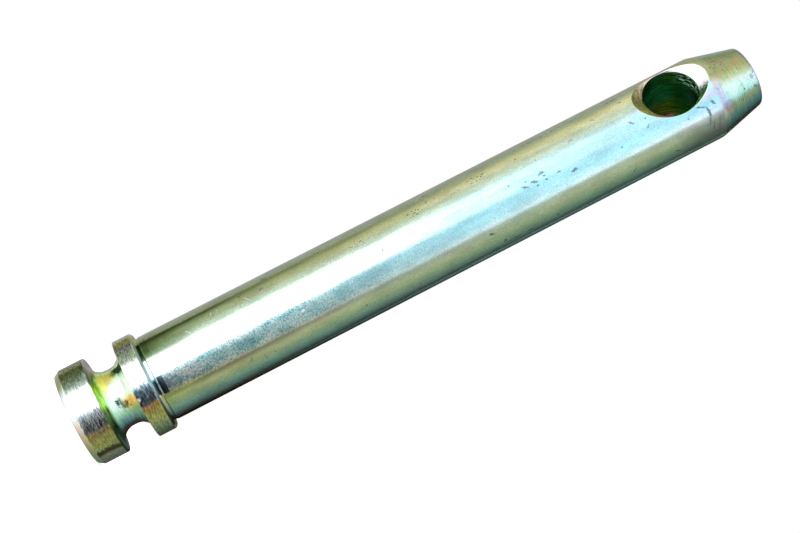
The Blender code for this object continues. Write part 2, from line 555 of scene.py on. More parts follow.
SHANK_NEAR_TIP = [
    (-75, (0.24, 0.34, 0.28)), (-66, (0.32, 0.50, 0.38)), (-58, (0.31, 0.47, 0.32)),
    (-46, (0.38, 0.48, 0.36)), (-34, (0.39, 0.51, 0.38)), (-27, (0.80, 0.84, 0.82)),
    (-24, (0.88, 0.92, 1.0)), (-21, (0.72, 0.94, 1.0)), (-16, (0.52, 0.80, 0.92)),
    (-6, (0.40, 0.84, 0.98)), (2, LILAC), (10, CYAN), (28, ICE), (36, LILAC), (43, YELLOW),
    (52, YELLOW), (60, OLIVE_YELLOW), (90, OLIVE_YELLOW),
]
TAPER_COLOURS = [
    (-80, SHADED_EDGE_BROWN), (-70, UMBER), (-62, (0.18, 0.30, 0.26)), (-50, (0.22, 0.54, 0.50)),
    (-39, (0.30, 0.62, 0.46)), (-30, (0.52, 0.66, 0.38)), (-24, SEA_GREEN), (-20, (0.60, 1.0, 0.92)),
    (-4, (0.76, 1.0, 0.94)), (4, (0.74, 0.92, 0.82)), (10, (0.62, 0.72, 0.46)),
    (18, (0.72, 0.74, 0.34)), (36, (0.70, 0.68, 0.32)), (46, TAN), (58, DARK_OLIVE), (68, GREY_GREEN),
    (90, GREY_GREEN),
]
TAPER_START_COLOURS = [
    (-78, UMBER), (-50, DARK_TEAL), (-34, GREY_GREEN), (-24, PINK), (-16, VIOLET), (-4, VIOLET),
    (6, LILAC), (12, PINK), (22, OLIVE_YELLOW), (90, OLIVE_YELLOW),
]

# The head, the collar and the head's flat end: the plating's film with painted reflection in it, a
# painted highlight band, white or ice, where the soft lamp reflects, and painted dark bands where
# darker parts of the room reflect
HEAD_COLOURS = [
    (-85, GREY_GREEN), (-68, (0.90, 1.0, 0.72)), (-60, (0.82, 1.0, 0.76)), (-56, (0.56, 0.66, 0.25)),
    (-53.5, UMBER), (-51, UMBER), (-48, (0.28, 0.24, 0.10)), (-45, (0.66, 0.84, 0.32)),
    (-42, (0.66, 0.75, 0.22)), (-30, DULL_KHAKI), (-25, (0.44, 0.39, 0.15)), (-22, (0.84, 0.56, 0.20)),
    (-18.5, (0.58, 0.62, 0.50)), (-8, (0.86, 1.0, 1.0)), (1, (0.70, 0.80, 0.90)), (7, WHITE),
    (30, WHITE), (35, (0.72, 0.90, 0.74)), (42, (0.54, 0.80, 0.52)), (49, (0.60, 0.77, 0.39)),
    (61, (0.41, 0.51, 0.15)), (67, (0.74, 0.92, 0.30)), (75, (0.33, 0.31, 0.13)), (90, GREY_GREEN),
]
COLLAR_COLOURS = [
    (-85, DARK_OLIVE), (-66, OLIVE_GREEN), (-52, (0.64, 0.92, 0.46)), (-38, KHAKI), (-29, DULL_KHAKI),
    (-25, (0.68, 0.42, 0.11)), (-21.5, ORANGE), (-18, (0.27, 0.28, 0.28)), (-10, (0.33, 0.48, 0.57)),
    (-3, (0.33, 0.53, 0.68)), (4, (0.74, 0.92, 0.97)), (10, WHITE), (27, WHITE),
    (33, (0.56, 0.66, 0.52)), (43, (0.72, 0.94, 0.57)), (52, (0.98, 1.0, 0.84)),
    (65, (0.86, 0.88, 0.17)), (70, (0.70, 0.72, 0.32)), (76, (0.74, 0.78, 0.39)), (90, GREY_GREEN),
]
END_COLOURS = [
    (-85, GREY_GREEN), (-58, OLIVE_GREEN), (-40, YELLOW), (-22, (0.96, 0.90, 0.50)), (-16, PEACH),
    (-4, PEACH), (2, ICE), (36, ICE), (44, YELLOW), (60, OLIVE_YELLOW), (90, ICE),
]

# All round: the relief beside the collar, the collar's seat, the groove's wall and its floor, with
# painted light in their colours: a painted highlight, white, sky or lime, where the soft lamp reflects,
# painted dark bands where the window and walls reflect, and painted shade low on the side that is seen
RELIEF_COLOURS = [
    (-180, TEAL), (-90, PIT_AND_SHADE_BLACK), (-66, PIT_AND_SHADE_BLACK), (-56, DARK_TEAL), (-40, OLIVE_GREEN),
    (-25, YELLOW), (-21, YELLOW), (-20, STRIP_REFLECTION_BLACK), (-2, STRIP_REFLECTION_BLACK), (1, SKY), (27, SKY),
    (29, DARK_MOSS), (36, BLACK_GREEN), (57, BLACK_GREEN), (60, OLIVE), (90, GREY_GREEN), (180, TEAL),
]
SEAT_COLOURS = [
    (-180, STEEL_BLUE), (-95, SHADED_EDGE_BROWN), (-48, SHADED_EDGE_BROWN), (-36, (0.16, 0.20, 0.18)),
    (-24, (0.20, 0.34, 0.36)), (4, (0.38, 0.62, 0.66)), (32, (0.50, 0.70, 0.70)),
    (46, (0.36, 0.42, 0.24)), (90, OLIVE_YELLOW), (180, STEEL_BLUE),
]
WALL_COLOURS = [
    (-180, OLIVE), (-90, BLACK_GREEN), (-45, BLACK_GREEN), (-26, DARK_MOSS), (-7, DARK_MOSS), (0, LIME),
    (24, LIME), (32, DARK_MOSS), (48, MOSS), (57, (0.50, 0.48, 0.30)), (68, (0.74, 0.66, 0.62)),
    (100, (0.74, 0.66, 0.62)), (180, OLIVE),
]
FLOOR_START = [
    (-180, ICE), (-84, SHADED_EDGE_BROWN), (-64, SHADED_EDGE_BROWN), (-56, (0.06, 0.12, 0.14)),
    (-42, (0.14, 0.32, 0.28)), (-28, (0.32, 0.64, 0.46)), (-12, MINT), (2, MINT),
    (12, (0.80, 0.98, 0.62)), (28, (0.80, 0.86, 0.20)), (42, (0.56, 0.54, 0.08)),
    (58, (0.44, 0.42, 0.07)), (72, OLIVE), (90, ICE), (180, ICE),
]
FLOOR_MIDDLE = [
    (-180, ICE), (-84, SHADED_EDGE_BROWN), (-64, SHADED_EDGE_BROWN), (-57, (0.06, 0.12, 0.15)),
    (-45, (0.14, 0.31, 0.33)), (-30, (0.32, 0.62, 0.42)), (-14, MINT), (0, (0.80, 1.0, 0.90)),
    (12, WHITE), (27, (0.84, 0.90, 1.0)), (33, (0.70, 0.66, 0.34)), (46, (0.56, 0.52, 0.10)),
    (58, (0.50, 0.46, 0.08)), (66, OLIVE), (90, ICE), (180, ICE),
]
FLOOR_END = [
    (-180, ICE), (-84, SHADED_EDGE_BROWN), (-62, SHADED_EDGE_BROWN), (-54, (0.07, 0.14, 0.14)),
    (-40, (0.22, 0.42, 0.28)), (-27, (0.32, 0.52, 0.26)), (-19, (0.62, 0.60, 0.20)),
    (-15, (1.0, 0.60, 0.14)), (-6, (1.0, 0.66, 0.18)), (-1, (0.90, 1.0, 0.70)), (6, WHITE), (36, WHITE),
    (43, (0.50, 0.86, 0.52)), (48, (0.006, 0.04, 0.010)), (64, (0.006, 0.04, 0.010)), (68, OLIVE),
    (90, ICE), (180, ICE),
]

# Tints by the value of a noise
SHANK_HUES = [(0.36, (0.93, 1.0, 1.0)), (0.5, (1.0, 1.0, 1.0)), (0.64, (1.0, 0.95, 0.97))]
TAPER_HUES = [
    (0.34, (0.62, 0.92, 0.96)), (0.45, (0.92, 1.0, 0.98)), (0.55, (1.0, 1.0, 1.0)),
    (0.66, (0.94, 0.84, 1.0)),
]

# By the turn round the hole: 0 and 1 up the picture, a quarter towards the head, a half down it. The
# cone's colours are painted light and shade: white is a painted highlight towards the tip, the dark
# greens and olives painted shade below. The bore's are its green plating darkened by painted shade
# inside the hole, lighter only near the top
CONE_COLOURS = [
    (0.0, LILAC), (0.08, PEACH), (0.15, TAN), (0.22, (0.38, 0.37, 0.11)), (0.29, (0.29, 0.29, 0.06)),
    (0.36, (0.14, 0.14, 0.04)), (0.42, (0.16, 0.22, 0.20)), (0.52, (0.16, 0.27, 0.26)),
    (0.57, (0.13, 0.36, 0.06)), (0.62, (0.13, 0.36, 0.07)), (0.67, (0.18, 0.40, 0.14)), (0.71, WHITE),
    (0.92, WHITE), (1.0, LILAC),
]
MOUTH_BORE_COLOURS = [
    (0.0, (0.006, 0.070, 0.015)), (0.05, (0.001, 0.022, 0.005)), (0.30, (0.001, 0.022, 0.005)),
    (0.60, (0.002, 0.025, 0.006)), (0.78, (0.002, 0.025, 0.006)), (0.85, (0.004, 0.060, 0.015)),
    (0.92, (0.010, 0.075, 0.004)), (1.0, (0.006, 0.070, 0.015)),
]
BORE_COLOURS = [
    (0.0, (0.005, 0.110, 0.026)), (0.10, (0.002, 0.050, 0.011)), (0.30, (0.001, 0.026, 0.006)),
    (0.70, (0.003, 0.028, 0.007)), (0.75, (0.003, 0.028, 0.007)), (0.80, (0.006, 0.070, 0.026)),
    (0.88, (0.001, 0.060, 0.003)), (0.95, (0.007, 0.118, 0.032)), (1.0, (0.005, 0.110, 0.026)),
]
DEEP_BORE_COLOURS = [
    (0.0, (0.050, 0.075, 0.003)), (0.10, (0.040, 0.060, 0.004)), (0.60, (0.002, 0.050, 0.003)),
    (0.84, (0.001, 0.060, 0.002)), (0.89, (0.020, 0.075, 0.002)), (0.94, (0.052, 0.090, 0.002)),
    (1.0, (0.046, 0.080, 0.003)),
]

# Patches of pits: angle in degrees, height, width round the pin, length, share of the cells
PIT_ZONES = [
    (38.3, 68.3, 1.4, 5.5, 0.85), (42.0, 81.8, 2.2, 4.8, 0.92), (49.5, 85.3, 1.8, 4.0, 0.5),
    (40.0, 91.7, 0.9, 5.5, 0.45), (46.0, 96.6, 2.4, 5.5, 0.55), (44.1, 105.7, 1.2, 1.4, 0.6),
    (-53.5, 76.0, 0.9, 5.0, 0.5), (-57.0, 99.0, 1.6, 12.0, 0.35), (63.0, 112.0, 1.0, 18.0, 0.3),
    (63.5, 122.1, 1.0, 4.0, 0.6), (28.0, 112.0, 1.6, 12.0, 0.15), (38.6, 154.0, 4.5, 4.5, 0.3),
]

# Marks: angle in degrees, height, half length, half width, lean in degrees from the pin's axis
SMEARS = [
    (13.9, 101.6, 0.35, 0.24, 0), (2.7, 104.6, 0.95, 0.24, -22), (8.7, 105.2, 0.45, 0.17, -12),
    (3.5, 106.9, 1.0, 0.28, -18), (-2.3, 107.3, 0.32, 0.22, 30), (9.4, 108.9, 0.95, 0.30, 8),
    (4.9, 109.3, 0.4, 0.18, 0), (-0.2, 109.4, 0.4, 0.22, -10), (0.8, 112.5, 0.55, 0.2, 0),
    (-6.2, 115.7, 0.85, 0.34, 12), (-32.2, 94.1, 0.7, 0.3, -30), (14.2, 131.1, 0.85, 0.18, -42),
    (11.2, 134.3, 0.32, 0.22, 35), (0.3, 134.0, 0.5, 0.16, 45), (-8.2, 126.9, 0.24, 0.18, 0),
    (-14.8, 142.6, 0.22, 0.17, 0), (-46.4, 128.0, 0.6, 0.14, 40), (-8.9, 146.0, 1.1, 0.26, -25),
    (-19.0, 147.4, 1.5, 0.30, -82), (-32.0, 147.0, 1.2, 0.22, -104), (-10.0, 149.0, 0.8, 0.3, -60),
    (-40.0, 43.0, 0.5, 0.1, -70), (14.0, 72.0, 0.22, 0.18, 0), (-16.5, 157.1, 0.4, 0.16, 70),
    (-29.8, 155.8, 0.3, 0.2, 0), (1.5, 160.5, 0.3, 0.2, 60), (24.8, 154.5, 0.5, 0.12, 80),
    (-20.0, 159.8, 0.3, 0.15, 60),
]
VIOLET_SMEARS = [
    (-44.0, 149.0, 2.5, 0.42, -104), (50.3, 41.3, 0.5, 0.35, 0), (61.7, 47.4, 0.9, 0.4, 0),
    (31.1, 118.0, 0.8, 0.2, 8), (45.0, 46.0, 0.5, 0.4, 0),
]
DASHES = [
    (-60.6, 93.9, 0.95, 0.14, 8), (-52.3, 96.5, 0.4, 0.22, 0), (-57.5, 99.0, 1.2, 0.12, 0),
    (-57.8, 102.3, 1.0, 0.15, 3), (-55.2, 109.2, 0.55, 0.15, 5), (-55.5, 112.9, 0.28, 0.13, 0),
    (62.0, 129.8, 0.3, 0.12, 0), (63.1, 131.4, 0.7, 0.11, 0), (44.2, 124.5, 0.5, 0.08, -40),
    (50.8, 131.7, 0.5, 0.13, -40), (-34.1, 37.8, 0.8, 0.07, 60), (-40.0, 40.7, 0.9, 0.07, -80),
    (64.0, 85.5, 0.8, 0.12, 0), (58.0, 60.0, 0.5, 0.08, -30), (-42.0, 64.0, 0.3, 0.1, 20),
]
TAPER_LINES = [
    (19.8, 157.3, 1.3, 0.07, 88), (2.0, 155.4, 2.2, 0.06, 90), (-6.0, 158.6, 1.6, 0.05, 90),
]
SCRATCHES = [
    (35.9, 28.8, 0.85, 0.11, -48), (34.7, 32.2, 0.16, 0.13, 0), (40.0, 42.6, 1.1, 0.12, -56),
    (-8.0, 51.7, 0.5, 0.3, 25), (-37.4, 105.6, 0.5, 0.1, -30), (-35.3, 108.6, 0.6, 0.08, 75),
    (45.0, 34.5, 0.6, 0.08, 62), (46.5, 36.0, 0.5, 0.07, -60), (-30.0, 84.0, 0.5, 0.06, 35),
]
HEAD_MARKS = [
    (-11.5, 14.0, 0.30, 0.38, 25), (10.0, 6.35, 0.30, 0.8, 0), (43.0, 6.1, 0.35, 0.9, 0),
    (-42.0, 1.6, 0.3, 0.25, 0),
]

# Marks with a colour of their own on the shank, and painted dark reflections on the groove's floor
STAINS = [
    ((-28.0, 152.2, 1.5, 0.8, -25), (0.62, 0.42, 0.44)), ((30.0, 158.2, 0.9, 0.8, 0), ORANGE),
    ((-20.0, 152.2, 1.2, 0.6, 0), (0.40, 0.46, 0.88)),
    ((-57.5, 135.3, 2.4, 0.13, 10), (0.10, 0.035, 0.02)),
    ((-52.2, 138.6, 0.7, 0.24, -35), (0.16, 0.06, 0.04)),
    ((-42.0, 147.6, 1.2, 0.15, -104), (0.14, 0.08, 0.03)),
    ((-4.0, 159.8, 0.45, 0.9, 0), (0.20, 0.26, 0.50)),
    ((-22.0, 159.9, 0.3, 0.4, 0), (0.06, 0.06, 0.08)),
]
GROOVE_DARK_REFLECTIONS = [
    ((-8.0, 9.9, 0.9, 1.7, 0), (0.012, 0.05, 0.035)), ((-13.0, 11.2, 0.6, 0.8, 0), (0.10, 0.05, 0.012)),
    ((-19.0, 10.9, 1.0, 0.8, 0), (0.14, 0.15, 0.03)),
]


# Finishes


def start_material(name):
    """Makes a metal material and returns it with its tree, its shader and where its surface is."""
    material = bpy.data.materials.new(name)
    material.use_nodes = True
    tree = material.node_tree
    shader = tree.nodes["Principled BSDF"]
    place = add(tree, "ShaderNodeTexCoord").outputs["Object"]
    return material, tree, shader, place


def finish_material(tree, shader, colour, roughness, height, depth, metallic=1.0):
    """Puts the colour, the roughness, the bump and the share of bare metal on the shader."""
    plug(tree, shader.inputs["Base Color"], colour)
    plug(tree, shader.inputs["Metallic"], metallic)
    plug(tree, shader.inputs["Roughness"], roughness)
    bump = add(tree, "ShaderNodeBump", {"Strength": 1.0, "Distance": depth, "Height": height})
    plug(tree, shader.inputs["Normal"], bump.outputs[0])


def unroll(tree, place):
    """Returns the turn, the height in mm and the flat place that belong to a place on the pin."""
    return tuple(use(tree, UNROLL, Vector=place).outputs)


def grained(tree, place, scales):
    """Returns the fine and the broad grain at scales that are (round the pin, along it)."""
    across, along = scales
    return tuple(use(tree, GRAIN, Vector=place, Across=across, Along=along).outputs)


def marked(tree, flat, mark):
    """Returns the mask of one mark of the lists above."""
    angle, height, half_length, half_width, lean = mark
    centre = (SHANK_RADIUS * math.radians(angle), height, 0.0)
    item = use(tree, MARK, Flat=flat, Centre=centre, Lean=math.radians(lean),
               Size=(half_width * MARK_WIDTH_SCALE, half_length * MARK_LENGTH_SCALE, 1.0))
    return item.outputs[0]


def spots(tree, flat, marks):
    """Returns the mask of a list of marks."""
    return gather(tree, [marked(tree, flat, mark) for mark in marks])


def pitted(tree, flat):
    """Returns the mask of all the patches of pits."""
    masks = []
    for angle, height, width, length, share in PIT_ZONES:
        item = use(tree, PITS, Flat=flat, Centre=(SHANK_RADIUS * math.radians(angle), height, 0.0),
                   Size=(width, length, 1.0), Share=share)
        masks.append(item.outputs[0])
    return gather(tree, masks)


def frayed(tree, place, flat, detail, reach):
    """Returns the flat place moved by a fine noise, which frays the marks that are drawn with it."""
    fine = add(tree, "ShaderNodeTexNoise", {"Vector": place, "Scale": FRAY_SCALE, "Detail": detail})
    centred = vector_calc(tree, "SUBTRACT", fine.outputs[1], (0.5, 0.5, 0.5))
    return vector_calc(tree, "ADD", flat, vector_calc(tree, "MULTIPLY", centred, (reach, reach, 0.0)))


def shank_film(tree, turn, ragged_turn, height):
    """Returns the plating's colour on the shank, with painted reflection bands and painted shade low on
    the seen side: four sets of bands that run into each other.
    """
    film = blend(tree, smooth_range(tree, height, 20.0, 31.0, kind="LINEAR"),
                 round_pin(tree, ragged_turn, SHANK_AT_COLLAR),
                 round_pin(tree, ragged_turn, SHANK_NEAR_HEAD))
    film = blend(tree, smooth_range(tree, height, 34.0, 90.0, kind="LINEAR"), film,
                 round_pin(tree, turn, SHANK_HALFWAY))
    film = blend(tree, smooth_range(tree, height, 133.0, 149.0), film,
                 round_pin(tree, turn, SHANK_NEAR_TIP))
    yellowed = times(tree, smooth_range(tree, height, 31.0, 46.0),
                     smooth_range(tree, height, 96.0, 64.0, 0.0, 0.6),
                     band_mask(tree, turn, 42.0, 56.0, 5.0))
    return blend(tree, yellowed, film, (0.84, 0.90, 0.42))


def weathered_and_reflected(tree, film, place, fine, rough_window_reflection):
    """Returns the shank's film with speckle, clouds and drifting hues; in the band where the window
    reflects on the rough end the speckle is coarser and bluish darker clouds of painted reflection are
    laid on.
    """
    speckle = smooth_range(tree, fine, 0.32, 0.68, -1.0, 1.0, "LINEAR")
    coarse = mix_value(tree, rough_window_reflection, 0.12, 0.52)
    film = tinted(tree, film, calc(tree, "MULTIPLY_ADD", speckle, coarse, 0.97))
    cloud = streaks(tree, place, SHANK_CLOUDS, 4.0, 0.62)
    film = tinted(tree, film, smooth_range(tree, cloud, 0.36, 0.66, 0.86, 1.08, "LINEAR"))
    # painted reflection: bluish darker clouds only where the window reflects on the rough end
    window_reflection_clouds = times(tree, rough_window_reflection, smooth_range(tree, cloud, 0.56, 0.40, 0.0, 0.8))
    film = blend(tree, window_reflection_clouds, film, tinted(tree, film, (0.50, 0.72, 0.80)))
    hue = streaks(tree, place, SHANK_HUE_DRIFT, 3.0, 0.6)
    return tinted(tree, film, ramp(tree, hue, SHANK_HUES))


def with_strips(tree, film, turn, height, in_window_reflection):
    """Returns the shank's film with painted dark reflection strips beside the collar, where the window
    reflects, and the bluer start of the taper.
    """
    film = painted(tree, film, height_mask(tree, height, SHOULDER - 0.2, RELIEF_END - 0.2, 0.06), 0.9,
                   by_angle(tree, turn, RELIEF_COLOURS))
    # painted dark reflections: two dark strips beside the relief, only where the window reflects
    wide_dark_reflection = height_mask(tree, height, STRIP_START, STRIP_START + 1.0, 0.1)
    film = painted(tree, film, times(tree, wide_dark_reflection, in_window_reflection), 0.68, (0.10, 0.15, 0.22))
    thin_dark_reflection = height_mask(tree, height, STRIP_START, STRIP_START + 0.3, 0.15)
    film = painted(tree, film, times(tree, thin_dark_reflection, in_window_reflection), 0.7, (0.03, 0.05, 0.08))
    taper_side = times(tree, height_mask(tree, height, TAPER_START - 1.0, TAPER_START + 0.5, 1.0),
                       band_mask(tree, turn, -20.0, -2.0, 9.0))
    return painted(tree, film, taper_side, 0.5, (0.50, 0.78, 0.95))


def taper_film(tree, turn, place, height):
    """Returns the plating's colour on the turned taper, with a painted highlight band and painted shade
    low on the seen side, mottled and darker at its rim.
    """
    film = painted(tree, round_pin(tree, turn, TAPER_COLOURS),
                   smooth_range(tree, height, 153.4, 151.2), 0.85,
                   round_pin(tree, turn, TAPER_START_COLOURS))
    patches = streaks(tree, place, TAPER_PATCHES, 3.0, 0.6)
    film = tinted(tree, film, ramp(tree, patches, TAPER_HUES))
    rim = smooth_range(tree, nudge(tree, height, patches, 3.0), TIP_HEIGHT - 0.8, TIP_HEIGHT - 0.1)
    return painted(tree, film, rim, 0.65, (0.30, 0.34, 0.62))


def make_shank_material():
    """Drawn and ground bar under iridescent plating, with pits, scratches and smears, and painted
    reflection bands and painted shade in its colour.
    """
    material, tree, shader, place = start_material("plated_shank")
    turn, height, flat = unroll(tree, place)
    fine, broad = grained(tree, place, DRAWN_GRAIN)
    turning, _ = grained(tree, place, TAPER_GRAIN)
    drift = streaks(tree, place, SHANK_DRIFT, 3.0)
    turn = nudge(tree, turn, drift, 0.012)
    rough_end = smooth_range(tree, height, 85.0, 35.0)
    in_window_reflection = band_mask(tree, turn, -21.0, 1.5, 1.0)
    tapered = smooth_range(tree, height, TAPER_START - 0.1, TAPER_START + 0.2)
    polished = gather(tree, [
        height_mask(tree, height, SHOULDER - 0.2, RELIEF_END - RELIEF_DEPTH, 0.05),
        height_mask(tree, height, RELIEF_END + 0.3, RELIEF_END + 1.3, 0.2),
    ])

    film = shank_film(tree, turn, nudge(tree, turn, fine, 0.016), height)
    film = weathered_and_reflected(tree, film, place, fine, times(tree, rough_end, in_window_reflection))
    film = with_strips(tree, film, turn, height, in_window_reflection)
    taper = taper_film(tree, nudge(tree, turn, turning, 0.05), place, height)
    on_taper = smooth_range(tree, height, TAPER_START - 0.15, TAPER_START + 0.15)
    film = blend(tree, on_taper, film, taper)

    shaken = frayed(tree, place, flat, 2.0, 0.7)
    pits = pitted(tree, flat)
    smears = spots(tree, shaken, SMEARS)
    dashes = spots(tree, shaken, DASHES)
    scratches = spots(tree, flat, SCRATCHES)
    film = painted(tree, film, spots(tree, flat, TAPER_LINES), 0.7, WORN_WHITE)
    for mark, colour in STAINS:
        film = painted(tree, film, marked(tree, shaken, mark), 0.6, colour)
    film = painted(tree, film, smears, 0.85, SMEAR_BLUE)
    film = painted(tree, film, spots(tree, shaken, VIOLET_SMEARS), 0.55, (0.30, 0.26, 0.42))
    film = painted(tree, film, calc(tree, "MAXIMUM", pits, dashes), 0.85, PIT_AND_SHADE_BLACK)
    film = painted(tree, film, scratches, 0.8, WORN_WHITE)
    film = blend(tree, tapered, film, tinted(tree, film, shaded(tree, turning, 0.82, 1.1)))

    roughness = smooth_range(tree, broad, 0.35, 0.65, 0.15, 0.20, "LINEAR")
    roughness = calc(tree, "MULTIPLY_ADD", rough_end, 0.07, roughness)
    roughness = calc(tree, "MULTIPLY_ADD", tapered, 0.04, roughness)
    roughness = mix_value(tree, polished, roughness, 0.08)
    hurt = gather(tree, [pits, smears, dashes, scratches])
    roughness = calc(tree, "MULTIPLY_ADD", hurt, 0.22, roughness)
    relief = times(tree, fine, mix_value(tree, rough_end, 0.45, 1.0))
    relief = mix_value(tree, polished, relief, 0.5)
    relief = mix_value(tree, tapered, relief, turning)
    relief = calc(tree, "MULTIPLY_ADD", pits, -1.5, relief)
    relief = calc(tree, "MULTIPLY_ADD", drift, 1.2, relief)
    painted_shade_edge = times(tree, shaded_lower_edge(tree, turn),
                        smooth_range(tree, height, 30.0, 110.0, 1.0, 0.94, "LINEAR"))
    metallic = mix_value(tree, painted_shade_edge, 1.0, SHADED_EDGE_METAL)
    # painted shade: the film darkened to a tenth along the lower edge of the side that is seen
    film = blend(tree, painted_shade_edge, film, tinted(tree, film, 0.10))
    shader.inputs["Specular IOR Level"].default_value = 0.0
    shader.inputs["Specular Tint"].default_value = (0.88, 0.86, 0.82, 1.0)
    finish_material(tree, shader, film, roughness, relief, SHANK_BUMP, metallic)
    return material


def make_turned_material():
    """Turned faces of the head and the collar: rings round the pin under the same plating, with painted
    reflection bands and painted shade in its colour.
    """
    material, tree, shader, place = start_material("turned_head")
    turn, height, flat = unroll(tree, place)
    fine, broad = grained(tree, place, HEAD_GRAIN)
    turn = nudge(tree, turn, streaks(tree, place, HEAD_DRIFT), 0.02)
    turn = nudge(tree, turn, fine, 0.035)
    on_end = smooth_range(tree, height, HEAD_CHAMFER_LENGTH + 0.1, HEAD_CHAMFER_LENGTH - 0.2)
    seat = height_mask(tree, height, SHOULDER - 0.45, SHOULDER + 0.3, 0.05)
    film = blend(tree, calc(tree, "GREATER_THAN", height, GROOVE_MIDDLE),
                 round_pin(tree, turn, HEAD_COLOURS), round_pin(tree, turn, COLLAR_COLOURS))
    film = blend(tree, on_end, film, round_pin(tree, turn, END_COLOURS))
    # painted dark reflection: the rings turn darkest where the window reflects and, less so, in the
    # dark band on top
    in_window_reflection = span(tree, turn, turn_at(-21.0), turn_at(-19.0), turn_at(-16.0), turn_at(4.0))
    on_top = times(tree, band_mask(tree, turn, 46.0, 66.0, 6.0), 0.6)
    darkest = mix_value(tree, calc(tree, "MAXIMUM", in_window_reflection, on_top), 0.42, -0.2)
    rings = calc(tree, "MAXIMUM", shaded(tree, fine, darkest, 1.3), 0.06)
    rings = mix_value(tree, on_end, rings, 0.95)
    film = tinted(tree, film, rings)
    # painted shade: the head's edge beside the groove takes the wall's colours at half their brightness
    film = blend(tree, height_mask(tree, height, 6.55, 9.0, 0.3), film,
                 tinted(tree, by_angle(tree, turn, WALL_COLOURS), 0.5))
    film = painted(tree, film, spots(tree, flat, HEAD_MARKS), 0.8, (0.80, 0.92, 0.96))
    # the seat's colours carry painted shade low on the side that is seen and painted reflection
    # elsewhere
    film = painted(tree, film, seat, 0.9, by_angle(tree, turn, SEAT_COLOURS))
    worn = use(tree, WEAR, Height=height, Vector=place)
    film = painted(tree, film, worn.outputs[0], 0.6, WORN_WHITE)
    roughness = smooth_range(tree, broad, 0.3, 0.7, 0.15, 0.25, "LINEAR")
    # less metal along the seat's lower edge, where its colours carry painted shade
    metallic = mix_value(tree, times(tree, seat, shaded_lower_edge(tree, turn)), 1.0, SHADED_EDGE_METAL)
    shader.inputs["Specular IOR Level"].default_value = 0.0
    finish_material(tree, shader, film, roughness, fine, TURNED_BUMP, metallic)
    return material


def make_groove_material():
    """The keeper's groove: finely turned yellow and green plating, with a painted highlight and painted
    reflections in its colours, less metallic where those show.

    The floor's three sets of bands follow each other from the head's side to the collar's.
    """
    material, tree, shader, place = start_material("turned_groove")
    turn, height, flat = unroll(tree, place)
    fine, broad = grained(tree, place, GROOVE_GRAIN)
    ragged_turn = nudge(tree, turn, fine, 0.03)
    wander = streaks(tree, place, GROOVE_WANDER, 3.0)
    level = nudge(tree, height, wander, 3.6)
    lift = times(tree, smooth_range(tree, height, 10.6, 13.4, 0.0, 0.026, "LINEAR"),
                 smooth_range(tree, turn, 0.49, 0.54))
    lifted_turn = nudge(tree, calc(tree, "ADD", ragged_turn, lift), wander, 0.03)
    sunk = times(tree, smooth_range(tree, height, 6.82, 7.25, 0.0, 0.065),
                 smooth_range(tree, turn, 0.5, 0.56))
    wall = by_angle(tree, calc(tree, "SUBTRACT", ragged_turn, sunk), WALL_COLOURS)
    film = blend(tree, smooth_range(tree, level, 8.2, 9.4), by_angle(tree, ragged_turn, FLOOR_START),
                 by_angle(tree, ragged_turn, FLOOR_MIDDLE))
    film = blend(tree, smooth_range(tree, level, 9.9, 11.8), film,
                 by_angle(tree, lifted_turn, FLOOR_END))
    film = blend(tree, smooth_range(tree, height, 7.2, 7.95), wall, film)
    torn = smooth_range(tree, streaks(tree, place, GROOVE_TEARS), 0.36, 0.60)
    torn = mix_value(tree, torn, 0.35, 0.95)
    shaken = frayed(tree, place, flat, 3.0, 1.6)
    # painted dark reflections on the groove's floor, broken by noise
    for mark, colour in GROOVE_DARK_REFLECTIONS:
        film = painted(tree, film, marked(tree, shaken, mark), torn, colour)
    film = tinted(tree, film, shaded(tree, fine, 0.76, 1.12))
    # less metal and more roughness where the painted highlight and reflections are, so that they show
    # as painted
    dull = times(tree, smooth_range(tree, height, 6.95, 7.9), band_mask(tree, turn, -75.0, 62.0, 12.0))
    dull = calc(tree, "MAXIMUM", dull, band_mask(tree, turn, -100.0, -48.0, 12.0))
    roughness = smooth_range(tree, broad, 0.3, 0.7, 0.16, 0.24, "LINEAR")
    roughness = mix_value(tree, dull, roughness, 0.36)
    metallic = mix_value(tree, dull, 1.0, 0.30)
    shader.inputs["Specular IOR Level"].default_value = 0.12
    finish_material(tree, shader, film, roughness, fine, GROOVE_BUMP, metallic)
    return material


def around_hole(tree, place):
    """Returns the turn round the hole from 0 to 1, noise in rings round it, and the depth in mm.

    The turn is half plus the angle from X towards Z over a full turn. The depth runs along Y, and is
    0 on the pin's axis and negative on the countersunk side.
    """
    centred = vector_calc(tree, "SUBTRACT", place, (0.0, 0.0, HOLE_HEIGHT * MM))
    parts = add(tree, "ShaderNodeSeparateXYZ", {0: centred})
    angle = calc(tree, "ARCTAN2", parts.outputs[2], parts.outputs[0])
    turn = calc(tree, "MULTIPLY_ADD", angle, 1.0 / FULL_TURN, 0.5)
    rings = stretched(tree, centred, HOLE_RINGS, 3.0, 0.62)
    return turn, rings, times(tree, parts.outputs[1], 1.0 / MM)


